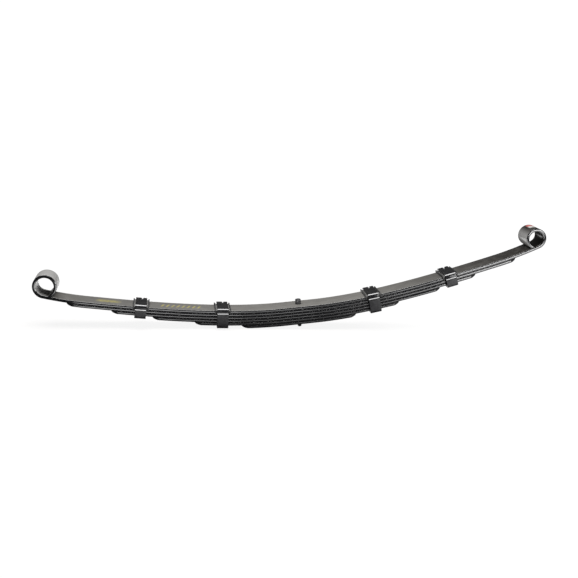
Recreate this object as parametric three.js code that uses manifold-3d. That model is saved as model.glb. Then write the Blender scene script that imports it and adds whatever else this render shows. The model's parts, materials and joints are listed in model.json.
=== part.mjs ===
// A six-leaf semi-elliptic leaf spring for a light vehicle, at its free camber.
//
// Millimetres, +Z up. X runs along the spring, Y runs across the leaves.
// The origin is the middle of the centre bolt's lower end, which is the lowest point.
//
// The main leaf curls upward into an eye at each end. Five graduated leaves lie below it.
// The centre bolt holds the pack at the middle, and four rebound clips hold the arms together.
// An arm bends when the spring is loaded. It is modelled the way vehicle engineers model it:
// a stiff centre link and two stiff arm links, which turn on a hinge at the foot of each cut.

import * as THREE from 'three';
import { mergeVertices } from 'three/addons/utils/BufferGeometryUtils.js';
import Module from 'manifold-3d';

const wasm = await Module();
wasm.setup();

// ---------------------------------------------------------------- driving dimensions

const CLEARANCE = 0.3;

const LEAF_COUNT = 6;
const LEAF_WIDTH = 63.5;
const LEAF_THICKNESS = 7.4;
const LEAF_EDGE = 1.4;
const LEAF_PITCH = LEAF_THICKNESS + CLEARANCE;

// The pack is straight at the centre bolt, and its slope grows toward a final angle.
const SEAT_HALF_LENGTH = 40;
const CAMBER_ANGLE = THREE.MathUtils.degToRad(13.6);
const CAMBER_LENGTH = 230;
const EYE_RISE_START = 530;
const EYE_RISE_RADIUS = 1000;

// Both eyes reach equally far from the centre bolt, though one is larger.
const OVERALL_HALF_LENGTH = 649.5;
const EYE_WRAP_ANGLE = THREE.MathUtils.degToRad(302);
const EYE_TIP_GAP = 1.0;

const TIP_TAPER_LENGTH = 15;
const TIP_THICKNESS = 3.6;
const TIP_CORNER_LENGTH = 16;
const TIP_CORNER_WIDTH = 12;

// The hairline between the stiff centre link and each arm link, as a length along the leaves.
const CUT_DISTANCE = 155;
const CUT_HALF_WIDTH = 0.15;
const HINGED_LEAF_COUNT = 5;

const BOLT_DIAMETER = 9.5;
const BOLT_HEAD_DIAMETER = 14.5;
const BOLT_HEAD_HEIGHT = 12.5;
const BOLT_TAIL = 5;
const NUT_ACROSS_FLATS = 14.3;
const NUT_HEIGHT = 8;

const STRAP_WIDTH = 28;
const STRAP_THICKNESS = 4.8;
const STRAP_SHOULDER_DROP = 6.5;
const STRAP_SHOULDER_STEP = 2.8;
const STRAP_CORNER = 7;
const STRAP_SLIT = 1.0;
const LINER_LENGTH = 40;
const LINER_THICKNESS = 2.3;
const LINER_SIDE_DEPTH = 7;
const LINER_CHAMFER = 1.7;
const LINER_RIM_WIDTH = 2.8;
const LINER_RIM_HEIGHT = 2.6;
const RIVET_DIAMETER = 8;
const RIVET_HEAD_DIAMETER = 14;
const RIVET_HEAD_HEIGHT = 3;

// Leaf ends and clip centres are lengths along the main leaf from the centre bolt.
const ARMS = {
  left: {
    sign: -1,
    eyeRadius: 22.2,
    leafEnds: { 2: 578, 3: 469, 4: 367.5, 5: 262.5, 6: 146 },
    clips: { inner: { distance: 194.5, leaves: 5 }, outer: { distance: 398, leaves: 3 } },
  },
  right: {
    sign: 1,
    eyeRadius: 19.05,
    leafEnds: { 2: 574, 3: 463.5, 4: 365.5, 5: 255, 6: 141.5 },
    clips: { inner: { distance: 190, leaves: 5 }, outer: { distance: 395, leaves: 3 } },
  },
};

const LEAF_STATION_STEP = 15;
const ARC_STEP = THREE.MathUtils.degToRad(11);

const PACK_BOTTOM = BOLT_TAIL + NUT_HEIGHT + CLEARANCE;
const PACK_TOP = PACK_BOTTOM + LEAF_COUNT * LEAF_PITCH - CLEARANCE;

// ---------------------------------------------------------------- materials

const PAINTED_STEEL = { color: 0x3b3a39, roughness: 0.45, metalness: 0.6 };
const CLIP_STEEL = { color: 0x232325, roughness: 0.4, metalness: 0.55 };
const BOLT_STEEL = { color: 0x2b2b2d, roughness: 0.35, metalness: 0.7 };
const LINER_PLASTIC = { color: 0x111112, roughness: 0.6, metalness: 0.0 };

// ---------------------------------------------------------------- solids

function toSolid(geometry) {
  const bare = geometry.clone();
  bare.deleteAttribute('normal');
  bare.deleteAttribute('uv');
  const merged = mergeVertices(bare, 1e-4);
  return new wasm.Manifold(new wasm.Mesh({
    numProp: 3,
    vertProperties: new Float32Array(merged.attributes.position.array),
    triVerts: new Uint32Array(merged.index.array),
  }));
}

function toGeometry(solid) {
  const mesh = solid.getMesh();
  const geometry = new THREE.BufferGeometry();
  geometry.setAttribute('position', new THREE.BufferAttribute(mesh.vertProperties, 3));
  geometry.setIndex(new THREE.BufferAttribute(mesh.triVerts, 1));
  geometry.computeVertexNormals();
  return geometry;
}

function cutAway(geometry, cutters) {
  let solid = toSolid(geometry);
  for (const cutter of cutters) {
    solid = solid.subtract(toSolid(cutter));
  }
  return toGeometry(solid);
}

// A cylinder along Z, with its foot at z = bottom.
function uprightCylinder(radius, bottom, height, sides) {
  const cylinder = new THREE.CylinderGeometry(radius, radius, height, sides);
  cylinder.rotateX(Math.PI / 2);
  cylinder.translate(0, 0, bottom + height / 2);
  return cylinder;
}

// ---------------------------------------------------------------- the camber line

// Slope of the main leaf's top surface at a length along it from the centre bolt.
function slopeAt(distance) {
  const bent = Math.max(0, distance - SEAT_HALF_LENGTH);
  const rise = Math.max(0, distance - EYE_RISE_START) / EYE_RISE_RADIUS;
  return CAMBER_ANGLE * (1 - Math.exp(-bent / CAMBER_LENGTH)) + rise;
}

// A point at a signed length along the main leaf, and at a depth below its top surface.
// Negative lengths are on the left arm. The point is given as (x, z).
function camberPoint(length, depth) {
  const distance = Math.abs(length);
  const steps = Math.max(1, Math.ceil(distance));
  const step = distance / steps;
  let x = 0;
  let z = PACK_TOP;
  for (let i = 0; i < steps; i += 1) {
    const slope = slopeAt((i + 0.5) * step);
    x += step * Math.cos(slope);
    z += step * Math.sin(slope);
  }
  const slope = slopeAt(distance);
  x += depth * Math.sin(slope);
  z -= depth * Math.cos(slope);
  return new THREE.Vector2(length < 0 ? -x : x, z);
}

// Even lengths from one end to the other, with the ends of the straight seat among them.
function stations(from, to) {
  const seatEnds = [-SEAT_HALF_LENGTH, SEAT_HALF_LENGTH];
  const stops = [from, ...seatEnds.filter((end) => end > from && end < to), to];
  const lengths = [from];
  for (let i = 1; i < stops.length; i += 1) {
    const span = stops[i] - stops[i - 1];
    const count = Math.ceil(span / LEAF_STATION_STEP);
    for (let j = 1; j <= count; j += 1) {
      lengths.push(stops[i - 1] + (span * j) / count);
    }
  }
  return lengths;
}

// Group matrix that puts local Z on the leaf's normal and local X along the leaf.
function placeOnLeaf(object, length) {
  const point = camberPoint(length, 0);
  const slope = Math.sign(length) * slopeAt(Math.abs(length));
  object.position.set(point.x, 0, point.y);
  object.rotation.set(0, -slope, 0);
}

// ---------------------------------------------------------------- leaves

function leafTop(leaf) {
  return (leaf - 1) * LEAF_PITCH;
}

function leafBottom(leaf) {
  return leafTop(leaf) + LEAF_THICKNESS;
}

// A side outline in the XZ plane, widened across the leaf with a rounded edge on each side.
function widenOutline(outline) {
  const geometry = new THREE.ExtrudeGeometry(new THREE.Shape(outline), {
    depth: LEAF_WIDTH - 2 * LEAF_EDGE,
    steps: 1,
    bevelEnabled: true,
    bevelThickness: LEAF_EDGE,
    bevelSize: LEAF_EDGE,
    bevelOffset: -LEAF_EDGE,
    bevelSegments: 1,
  });
  geometry.rotateX(Math.PI / 2);
  geometry.translate(0, LEAF_WIDTH / 2 - LEAF_EDGE, 0);
  return geometry;
}

// Underside points of a leaf end, which thins in a quarter ellipse toward its tip.
function taperedUnderside(leaf, end) {
  const side = Math.sign(end);
  const points = [];
  for (let i = 0; i <= 4; i += 1) {
    const turn = (i / 4) * (Math.PI / 2);
    const length = end - side * TIP_TAPER_LENGTH * (1 - Math.sin(turn));
    const thickness = TIP_THICKNESS + (LEAF_THICKNESS - TIP_THICKNESS) * Math.cos(turn);
    points.push(camberPoint(length, leafTop(leaf) + thickness));
  }
  return points;
}

// Side outline of a leaf piece between two lengths. A tapered end is a leaf's own tip.
function leafOutline(leaf, from, to, taperFrom, taperTo) {
  const top = stations(from, to).map((length) => camberPoint(length, leafTop(leaf)));
  const underFrom = taperFrom ? from + TIP_TAPER_LENGTH : from;
  const underTo = taperTo ? to - TIP_TAPER_LENGTH : to;
  let under = stations(underFrom, underTo).map((length) => camberPoint(length, leafBottom(leaf)));
  if (taperFrom) {
    under = [...taperedUnderside(leaf, from).reverse(), ...under.slice(1)];
  }
  if (taperTo) {
    under = [...under.slice(0, -1), ...taperedUnderside(leaf, to)];
  }
  return [...top, ...under.reverse()];
}

// Three-sided prisms that trim both corners of a leaf end in plan.
function tipCorners(leaf, end) {
  const reach = 4;
  const half = LEAF_WIDTH / 2;
  const beyond = (reach * TIP_CORNER_WIDTH) / TIP_CORNER_LENGTH;
  return [-1, 1].map((side) => {
    const corner = new THREE.Shape([
      new THREE.Vector2(-TIP_CORNER_LENGTH, half),
      new THREE.Vector2(reach, half - TIP_CORNER_WIDTH - beyond),
      new THREE.Vector2(reach, half + reach),
      new THREE.Vector2(-TIP_CORNER_LENGTH, half + reach),
    ].map((point) => new THREE.Vector2(point.x * Math.sign(end), point.y * side)));
    const prism = new THREE.ExtrudeGeometry(corner, { depth: 30, steps: 1, bevelEnabled: false });
    prism.translate(0, 0, -15 - leafTop(leaf));
    const holder = new THREE.Object3D();
    placeOnLeaf(holder, end);
    holder.updateMatrix();
    return prism.applyMatrix4(holder.matrix);
  });
}

function centreHole() {
  return uprightCylinder(BOLT_DIAMETER / 2 + 0.4, PACK_BOTTOM - 5, PACK_TOP - PACK_BOTTOM + 10, 24);
}

function rivetHole(arm, clip) {
  const depth = leafBottom(clip.leaves);
  const hole = uprightCylinder(RIVET_DIAMETER / 2 + CLEARANCE, -depth - 10, LEAF_THICKNESS + 13, 16);
  const holder = new THREE.Object3D();
  placeOnLeaf(holder, arm.sign * clip.distance);
  holder.updateMatrix();
  return hole.applyMatrix4(holder.matrix);
}

function rivetHolesIn(leaf, arm) {
  const clips = Object.values(arm.clips).filter((clip) => clip.leaves === leaf);
  return clips.map((clip) => rivetHole(arm, clip));
}

// Middle stretch of a hinged leaf, between the two hairlines.
function leafCentre(leaf) {
  const half = CUT_DISTANCE - CUT_HALF_WIDTH;
  return cutAway(widenOutline(leafOutline(leaf, -half, half, false, false)), [centreHole()]);
}

// Outer stretch of a graduated leaf, from the hairline to its tip.
function leafArm(leaf, arm) {
  const near = arm.sign * (CUT_DISTANCE + CUT_HALF_WIDTH);
  const end = arm.sign * arm.leafEnds[leaf];
  const outline = arm.sign > 0
    ? leafOutline(leaf, near, end, false, true)
    : leafOutline(leaf, end, near, true, false);
  return cutAway(widenOutline(outline), [...tipCorners(leaf, end), ...rivetHolesIn(leaf, arm)]);
}

// The shortest leaf ends inside both hairlines, so it stays in one piece.
function shortestLeaf() {
  const leaf = LEAF_COUNT;
  const from = -ARMS.left.leafEnds[leaf];
  const to = ARMS.right.leafEnds[leaf];
  const cutters = [...tipCorners(leaf, from), ...tipCorners(leaf, to), centreHole()];
  return cutAway(widenOutline(leafOutline(leaf, from, to, true, true)), cutters);
}

// ---------------------------------------------------------------- eyes

// Length along the main leaf where its top surface starts to wrap the eye's bore.
function eyeStart(arm) {
  const centreX = OVERALL_HALF_LENGTH - LEAF_THICKNESS - arm.eyeRadius;
  let low = centreX;
  let high = centreX + 2 * arm.eyeRadius;
  while (high - low > 1e-3) {
    const middle = (low + high) / 2;
    const x = camberPoint(middle, 0).x - arm.eyeRadius * Math.sin(slopeAt(middle));
    if (x < centreX) {
      low = middle;
    } else {
      high = middle;
    }
  }
  return (low + high) / 2;
}

function arcPoints(centre, radius, from, to) {
  const count = Math.ceil(Math.abs(to - from) / ARC_STEP);
  const points = [];
  for (let i = 0; i <= count; i += 1) {
    const angle = from + ((to - from) * i) / count;
    points.push(new THREE.Vector2(Math.cos(angle), Math.sin(angle)).multiplyScalar(radius).add(centre));
  }
  return points;
}

// Outline of the main leaf's arm and its eye, drawn for the right arm.
// The leaf runs under the bore, up its far side and back over it. Its last stretch is straight,
// and its end face hangs just clear of the leaf, parallel to it.
function mainArmOutline(arm) {
  const near = CUT_DISTANCE + CUT_HALF_WIDTH;
  const start = eyeStart(arm);
  const slope = slopeAt(start);
  const tangentPoint = camberPoint(start, 0);
  const normal = new THREE.Vector2(-Math.sin(slope), Math.cos(slope));
  const centre = tangentPoint.clone().addScaledVector(normal, arm.eyeRadius);
  const wrapFrom = slope - Math.PI / 2;
  const wrapTo = wrapFrom + EYE_WRAP_ANGLE;
  const heading = new THREE.Vector2(-Math.sin(wrapTo), Math.cos(wrapTo));

  const top = stations(near, start).map((length) => camberPoint(length, 0));
  const under = stations(near, start).map((length) => camberPoint(length, LEAF_THICKNESS));
  const bore = arcPoints(centre, arm.eyeRadius, wrapFrom, wrapTo);
  const outside = arcPoints(centre, arm.eyeRadius + LEAF_THICKNESS, wrapFrom, wrapTo);
  const tip = [bore, outside].map((arc) => {
    const last = arc[arc.length - 1];
    const height = last.clone().sub(tangentPoint).dot(normal);
    return last.clone().addScaledVector(heading, (EYE_TIP_GAP - height) / heading.dot(normal));
  });

  return [...top, ...bore.slice(1), ...tip, ...outside.reverse(), ...under.reverse().slice(1)];
}

function mainArm(arm) {
  const outline = mainArmOutline(arm).map((point) => new THREE.Vector2(arm.sign * point.x, point.y));
  return cutAway(widenOutline(outline), rivetHolesIn(1, arm));
}

// ---------------------------------------------------------------- centre bolt and nut

function centreBolt() {
  const shank = BOLT_DIAMETER / 2;
  const head = BOLT_HEAD_DIAMETER / 2;
  const headFoot = PACK_TOP + CLEARANCE;
  const headTop = headFoot + BOLT_HEAD_HEIGHT;
  const profile = [
    new THREE.Vector2(0, 0),
    new THREE.Vector2(shank - 0.9, 0),
    new THREE.Vector2(shank, 0.9),
    new THREE.Vector2(shank, headFoot),
    new THREE.Vector2(head, headFoot),
    new THREE.Vector2(head, headTop - 1.5),
    new THREE.Vector2(head - 0.5, headTop - 0.5),
    new THREE.Vector2(head - 1.6, headTop),
    new THREE.Vector2(0, headTop),
  ];
  const geometry = new THREE.LatheGeometry(profile, 24);
  geometry.rotateX(Math.PI / 2);
  return geometry;
}

function hexNut() {
  const corner = NUT_ACROSS_FLATS / Math.sqrt(3);
  const hexagon = new THREE.CylinderGeometry(corner, corner, NUT_HEIGHT, 6);
  hexagon.rotateX(Math.PI / 2);
  hexagon.translate(0, 0, BOLT_TAIL + NUT_HEIGHT / 2);
  const chamfer = new THREE.LatheGeometry([
    new THREE.Vector2(0, BOLT_TAIL - 0.5),
    new THREE.Vector2(NUT_ACROSS_FLATS / 2 - 0.6, BOLT_TAIL - 0.5),
    new THREE.Vector2(corner + 0.2, BOLT_TAIL + 1.2),
    new THREE.Vector2(corner + 0.2, BOLT_TAIL + NUT_HEIGHT + 0.5),
    new THREE.Vector2(0, BOLT_TAIL + NUT_HEIGHT + 0.5),
  ], 36);
  chamfer.rotateX(Math.PI / 2);
  const bore = uprightCylinder(BOLT_DIAMETER / 2 + CLEARANCE, BOLT_TAIL - 2, NUT_HEIGHT + 4, 24);
  return toGeometry(toSolid(hexagon).intersect(toSolid(chamfer)).subtract(toSolid(bore)));
}

// ---------------------------------------------------------------- rebound clips

// Each clip is drawn in its own frame: X along the leaf, Z up from the main leaf's top.

// A closed path through corners, each rounded by its own radius.
function roundedPath(corners, path) {
  const count = corners.length;
  corners.forEach((corner, i) => {
    const here = new THREE.Vector2(corner.y, corner.z);
    const before = corners[(i + count - 1) % count];
    const after = corners[(i + 1) % count];
    const back = new THREE.Vector2(before.y, before.z).sub(here).setLength(corner.round);
    const ahead = new THREE.Vector2(after.y, after.z).sub(here).setLength(corner.round);
    const entry = here.clone().add(back);
    const exit = here.clone().add(ahead);
    if (i === 0) {
      path.moveTo(entry.x, entry.y);
    } else {
      path.lineTo(entry.x, entry.y);
    }
    path.quadraticCurveTo(here.x, here.y, exit.x, exit.y);
  });
  path.closePath();
  return path;
}

// Corners of one loop of the strap section, counter-clockwise, from its lower right.
function strapLoop(inset, depth, lowRound, topRound) {
  const grow = STRAP_THICKNESS - inset;
  const upper = LEAF_WIDTH / 2 + LINER_THICKNESS + 2 * CLEARANCE + grow;
  const lower = upper + STRAP_SHOULDER_STEP;
  const bottom = -depth - CLEARANCE - grow;
  const top = LINER_THICKNESS + 2 * CLEARANCE + grow;
  const shoulderLow = -STRAP_SHOULDER_DROP - STRAP_SHOULDER_STEP / 2 + grow / 3;
  const shoulderHigh = -STRAP_SHOULDER_DROP + STRAP_SHOULDER_STEP / 2 + grow / 3;
  return [
    { y: lower, z: bottom, round: lowRound },
    { y: lower, z: shoulderLow, round: 1.6 },
    { y: upper, z: shoulderHigh, round: 1.6 },
    { y: upper, z: top, round: topRound },
    { y: -upper, z: top, round: topRound },
    { y: -upper, z: shoulderHigh, round: 1.6 },
    { y: -lower, z: shoulderLow, round: 1.6 },
    { y: -lower, z: bottom, round: lowRound },
  ];
}

// The strap's two ends fold over the main leaf side by side, with a slanting gap between them.
// The gap then follows the far corner, so that each end hangs on one leg only.
function strapSlit() {
  const half = STRAP_WIDTH / 2 + 2;
  const edge = LEAF_WIDTH / 2 - 3;
  const gap = STRAP_SLIT;
  const slit = new THREE.Shape([
    new THREE.Vector2(-half, -edge),
    new THREE.Vector2(3.5, edge - 6),
    new THREE.Vector2(4.5, edge - gap),
    new THREE.Vector2(half, edge - gap),
    new THREE.Vector2(half, edge),
    new THREE.Vector2(1.5, edge),
    new THREE.Vector2(-half, -edge + 3 * gap),
  ]);
  const cutter = new THREE.ExtrudeGeometry(slit, { depth: 20, steps: 1, bevelEnabled: false });
  cutter.translate(0, 0, LINER_THICKNESS + CLEARANCE / 2);
  return cutter;
}

function clipStrap(clip) {
  const depth = leafBottom(clip.leaves);
  const section = roundedPath(strapLoop(0, depth, STRAP_CORNER, STRAP_CORNER), new THREE.Shape());
  section.holes.push(roundedPath(strapLoop(STRAP_THICKNESS, depth, 3, 2.6), new THREE.Path()));
  const edge = 0.8;
  const band = new THREE.ExtrudeGeometry(section, {
    depth: STRAP_WIDTH - 2 * edge,
    steps: 1,
    curveSegments: 4,
    bevelEnabled: true,
    bevelThickness: edge,
    bevelSize: edge,
    bevelOffset: -edge,
    bevelSegments: 1,
  });
  band.translate(0, 0, -STRAP_WIDTH / 2 + edge);
  band.applyMatrix4(new THREE.Matrix4().makeBasis(
    new THREE.Vector3(0, 1, 0),
    new THREE.Vector3(0, 0, 1),
    new THREE.Vector3(1, 0, 0),
  ));
  const hole = uprightCylinder(RIVET_DIAMETER / 2 + CLEARANCE, -depth - 10, 12, 16);
  return cutAway(band, [strapSlit(), hole]);
}

// A plastic channel between the strap and the main leaf, with a raised rim at each end.
function clipLiner() {
  const inside = LEAF_WIDTH / 2 + CLEARANCE;
  const outside = inside + LINER_THICKNESS - CLEARANCE;
  const channel = new THREE.Shape([
    new THREE.Vector2(-outside, -LINER_SIDE_DEPTH),
    new THREE.Vector2(-inside, -LINER_SIDE_DEPTH),
    new THREE.Vector2(-inside, CLEARANCE),
    new THREE.Vector2(inside, CLEARANCE),
    new THREE.Vector2(inside, -LINER_SIDE_DEPTH),
    new THREE.Vector2(outside, -LINER_SIDE_DEPTH),
    new THREE.Vector2(outside, LINER_THICKNESS + CLEARANCE - LINER_CHAMFER),
    new THREE.Vector2(outside - LINER_CHAMFER, LINER_THICKNESS + CLEARANCE),
    new THREE.Vector2(-outside + LINER_CHAMFER, LINER_THICKNESS + CLEARANCE),
    new THREE.Vector2(-outside, LINER_THICKNESS + CLEARANCE - LINER_CHAMFER),
  ]);
  const rimTop = LINER_THICKNESS + CLEARANCE + LINER_RIM_HEIGHT;
  const rimSide = outside + LINER_RIM_HEIGHT / 2;
  const rim = new THREE.Shape([
    new THREE.Vector2(-rimSide, -LINER_SIDE_DEPTH),
    new THREE.Vector2(-inside, -LINER_SIDE_DEPTH),
    new THREE.Vector2(-inside, CLEARANCE),
    new THREE.Vector2(inside, CLEARANCE),
    new THREE.Vector2(inside, -LINER_SIDE_DEPTH),
    new THREE.Vector2(rimSide, -LINER_SIDE_DEPTH),
    new THREE.Vector2(rimSide, rimTop - LINER_RIM_HEIGHT),
    new THREE.Vector2(rimSide - LINER_RIM_HEIGHT, rimTop),
    new THREE.Vector2(-rimSide + LINER_RIM_HEIGHT, rimTop),
    new THREE.Vector2(-rimSide, rimTop - LINER_RIM_HEIGHT),
  ]);
  const alongLeaf = new THREE.Matrix4().makeBasis(
    new THREE.Vector3(0, 1, 0),
    new THREE.Vector3(0, 0, 1),
    new THREE.Vector3(1, 0, 0),
  );
  const flat = { steps: 1, bevelEnabled: false };
  const body = new THREE.ExtrudeGeometry(channel, { ...flat, depth: LINER_LENGTH });
  body.translate(0, 0, -LINER_LENGTH / 2);
  let solid = toSolid(body.applyMatrix4(alongLeaf));
  for (const side of [-1, 1]) {
    const ring = new THREE.ExtrudeGeometry(rim, { ...flat, depth: LINER_RIM_WIDTH });
    const middle = side * (LINER_LENGTH - LINER_RIM_WIDTH) / 2;
    ring.translate(0, 0, middle - LINER_RIM_WIDTH / 2);
    solid = solid.add(toSolid(ring.applyMatrix4(alongLeaf)));
  }
  return toGeometry(solid);
}

// The rivet holds the strap to the lowest leaf that it grips, and is flush with that leaf's top.
function clipRivet(clip) {
  const depth = leafBottom(clip.leaves);
  const shank = RIVET_DIAMETER / 2;
  const head = RIVET_HEAD_DIAMETER / 2;
  const headFoot = -depth - STRAP_THICKNESS - 2 * CLEARANCE;
  const profile = [new THREE.Vector2(0, headFoot - RIVET_HEAD_HEIGHT)];
  for (let i = 1; i <= 4; i += 1) {
    const turn = (i / 4) * (Math.PI / 2);
    profile.push(new THREE.Vector2(head * Math.sin(turn), headFoot - RIVET_HEAD_HEIGHT * Math.cos(turn)));
  }
  profile.push(new THREE.Vector2(shank, headFoot));
  profile.push(new THREE.Vector2(shank, -leafTop(clip.leaves) - CLEARANCE));
  profile.push(new THREE.Vector2(0, -leafTop(clip.leaves) - CLEARANCE));
  const geometry = new THREE.LatheGeometry(profile, 16);
  geometry.rotateX(Math.PI / 2);
  return geometry;
}

// ---------------------------------------------------------------- assembly

function addPiece(parent, name, geometry, look) {
  const mesh = new THREE.Mesh(geometry, new THREE.MeshStandardMaterial(look));
  mesh.name = name;
  parent.add(mesh);
}

function addClip(parent, armName, clipName) {
  const arm = ARMS[armName];
  const clip = arm.clips[clipName];
  const holder = new THREE.Group();
  placeOnLeaf(holder, arm.sign * clip.distance);
  const prefix = `${armName}_${clipName}_clip`;
  addPiece(holder, `${prefix}_strap`, clipStrap(clip), CLIP_STEEL);
  addPiece(holder, `${prefix}_liner`, clipLiner(), LINER_PLASTIC);
  addPiece(holder, `${prefix}_rivet`, clipRivet(clip), BOLT_STEEL);
  parent.add(holder);
}

const spring = new THREE.Group();

for (const armName of ['left', 'right']) {
  addPiece(spring, `main_leaf_${armName}`, mainArm(ARMS[armName]), PAINTED_STEEL);
  for (let leaf = 2; leaf <= HINGED_LEAF_COUNT; leaf += 1) {
    addPiece(spring, `leaf_${leaf}_${armName}`, leafArm(leaf, ARMS[armName]), PAINTED_STEEL);
  }
  for (const clipName of ['inner', 'outer']) {
    addClip(spring, armName, clipName);
  }
}

addPiece(spring, 'main_leaf_centre', leafCentre(1), PAINTED_STEEL);
for (let leaf = 2; leaf <= HINGED_LEAF_COUNT; leaf += 1) {
  addPiece(spring, `leaf_${leaf}_centre`, leafCentre(leaf), PAINTED_STEEL);
}
addPiece(spring, 'leaf_6', shortestLeaf(), PAINTED_STEEL);
addPiece(spring, 'centre_bolt', centreBolt(), BOLT_STEEL);
addPiece(spring, 'centre_bolt_nut', hexNut(), BOLT_STEEL);

export default spring;
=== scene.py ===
# %% [markdown]
# # A leaf spring, made the way a smith makes one
#
# A leaf spring is a pack of flat steel bars, bent to the same curve and held by one bolt.
# The longest bar, the main leaf, is rolled into an eye at each end. Four clips keep the pack together.
#
# This lesson rebuilds the spring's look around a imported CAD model, which stays the fixed frame.
# Everything is in metres, with X along the spring, Y across it and Z up.

# %% Load the frame
import json
import math
import bmesh
import bpy
from mathutils import Matrix, Vector, geometry


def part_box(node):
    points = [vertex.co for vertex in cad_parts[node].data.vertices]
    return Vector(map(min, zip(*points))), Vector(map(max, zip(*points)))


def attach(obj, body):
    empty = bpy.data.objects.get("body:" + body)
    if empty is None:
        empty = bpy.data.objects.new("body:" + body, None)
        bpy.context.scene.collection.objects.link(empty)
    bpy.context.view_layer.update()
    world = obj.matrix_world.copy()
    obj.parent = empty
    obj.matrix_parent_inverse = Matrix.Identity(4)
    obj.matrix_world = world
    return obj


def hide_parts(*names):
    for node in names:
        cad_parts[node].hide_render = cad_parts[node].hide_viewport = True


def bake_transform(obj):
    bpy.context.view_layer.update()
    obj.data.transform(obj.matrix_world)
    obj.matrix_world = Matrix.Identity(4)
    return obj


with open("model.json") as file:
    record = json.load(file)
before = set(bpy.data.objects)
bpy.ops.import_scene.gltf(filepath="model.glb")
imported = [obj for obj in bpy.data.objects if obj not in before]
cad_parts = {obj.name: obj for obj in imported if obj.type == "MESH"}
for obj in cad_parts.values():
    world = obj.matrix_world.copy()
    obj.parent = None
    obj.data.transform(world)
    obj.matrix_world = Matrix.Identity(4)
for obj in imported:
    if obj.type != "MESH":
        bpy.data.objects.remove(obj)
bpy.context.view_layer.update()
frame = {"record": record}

# %% [markdown]
# ## Where the camera stands
#
# The spring is seen from the front, a little from the left and from above.
# A camera has a place, and three turns: its azimuth, its elevation and its roll.
# The roll is here because the spring leans: it rests on its centre bolt and on one clip.

# %% Camera
CAMERA_PLACE = Vector((-0.2649, -2.2897, 0.7051))
CAMERA_AZIMUTH = math.radians(-6.09)
CAMERA_ELEVATION = math.radians(14.71)
CAMERA_ROLL = math.radians(-4.27)
CAMERA_LENS = 58.2

camera_data = bpy.data.cameras.new("camera")
camera_data.lens = CAMERA_LENS
camera_data.sensor_width = 36.0
camera = bpy.data.objects.new("camera", camera_data)
bpy.context.scene.collection.objects.link(camera)
camera.matrix_world = (
    Matrix.Translation(CAMERA_PLACE)
    @ Matrix.Rotation(CAMERA_AZIMUTH, 4, "Z")
    @ Matrix.Rotation(math.pi / 2 - CAMERA_ELEVATION, 4, "X")
    @ Matrix.Rotation(CAMERA_ROLL, 4, "Z")
)
bpy.context.scene.camera = camera
print("camera:", round(CAMERA_PLACE.length, 2), "m from the bolt, lens", CAMERA_LENS, "mm")

# %% [markdown]
# ## Sizes
#
# The frame says how wide the leaves are and how high the pack is at its seat.
# The rest are the spring's own design sizes: the camber, where each leaf ends, and the clips.
# A leaf's ends and its clips are given as lengths along the main leaf, from the centre bolt.

# %% Driving dimensions
MM = 0.001
mounts = {mount["name"]: Vector(mount["pos_m"]) for mount in frame["record"]["mounts"]}
leaf_box_low, leaf_box_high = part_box("leaf_6")
OVERALL_HALF_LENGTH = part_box("main_leaf_right")[1].x

LEAF_COUNT = 6
LEAF_GAP = 0.3 * MM
LEAF_WIDTH = leaf_box_high.y - leaf_box_low.y
PACK_BOTTOM = mounts["bottom_seat"].z
PACK_TOP = mounts["top_seat"].z
LEAF_PITCH = (PACK_TOP - PACK_BOTTOM + LEAF_GAP) / LEAF_COUNT
LEAF_THICKNESS = LEAF_PITCH - LEAF_GAP
EDGE_BULGE = 1.4 * MM

SEAT_HALF_LENGTH = 40 * MM
CAMBER_ANGLE = math.radians(13.6)
CAMBER_LENGTH = 230 * MM
EYE_RISE_START = 530 * MM
EYE_RISE_RADIUS = 1000 * MM
EYE_WRAP = math.radians(302)
EYE_TIP_GAP = 1.0 * MM

ARMS = {
    "left": {
        "sign": -1,
        "eye_radius": 22.2 * MM,
        "leaf_ends": {2: 578, 3: 469, 4: 367.5, 5: 262.5, 6: 146},
        "clips": {"inner": (194.5, 5), "outer": (398, 3)},
    },
    "right": {
        "sign": 1,
        "eye_radius": 19.05 * MM,
        "leaf_ends": {2: 574, 3: 463.5, 4: 365.5, 5: 255, 6: 141.5},
        "clips": {"inner": (190, 5), "outer": (395, 3)},
    },
}
print("leaf:", round(LEAF_WIDTH / MM, 2), "x", round(LEAF_THICKNESS / MM, 2), "mm")
print("pitch of the pack:", round(LEAF_PITCH / MM, 2), "mm")

# %% [markdown]
# ## The camber line
#
# Every leaf follows one curve, flat at the bolt and steeper toward the eyes.
# A formula gives the slope at any length, and adding up short steps gives the place.
# As a Blender curve, that line can bend a straight bar with the Curve modifier, as rolls bend steel.


# %% Slope and place on the camber line
def slope_at(length):
    """Slope of the main leaf's top at a signed length from the bolt, rising away from it."""
    reach = abs(length)
    bent = max(0.0, reach - SEAT_HALF_LENGTH)
    slope = CAMBER_ANGLE * (1 - math.exp(-bent / CAMBER_LENGTH))
    slope += max(0.0, reach - EYE_RISE_START) / EYE_RISE_RADIUS
    return math.copysign(slope, length)


def camber_point(length):
    """Place of the main leaf's top, in the middle of its width."""
    steps = max(1, math.ceil(abs(length) / MM))
    step = length / steps
    point = Vector((0.0, 0.0, PACK_TOP))
    for i in range(steps):
        slope = slope_at((i + 0.5) * step)
        point += step * Vector((math.cos(slope), 0.0, math.sin(slope)))
    return point


def eye_start(arm):
    """Length at which the main leaf begins to wrap its bore."""
    centre_x = OVERALL_HALF_LENGTH - LEAF_THICKNESS - arm["eye_radius"]
    length = centre_x
    for _ in range(40):
        reached = camber_point(length).x - arm["eye_radius"] * math.sin(slope_at(length))
        length += centre_x - reached
    return length


for side, arm in ARMS.items():
    print(side, "eye begins at", round(eye_start(arm) / MM, 1), "mm")

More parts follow.
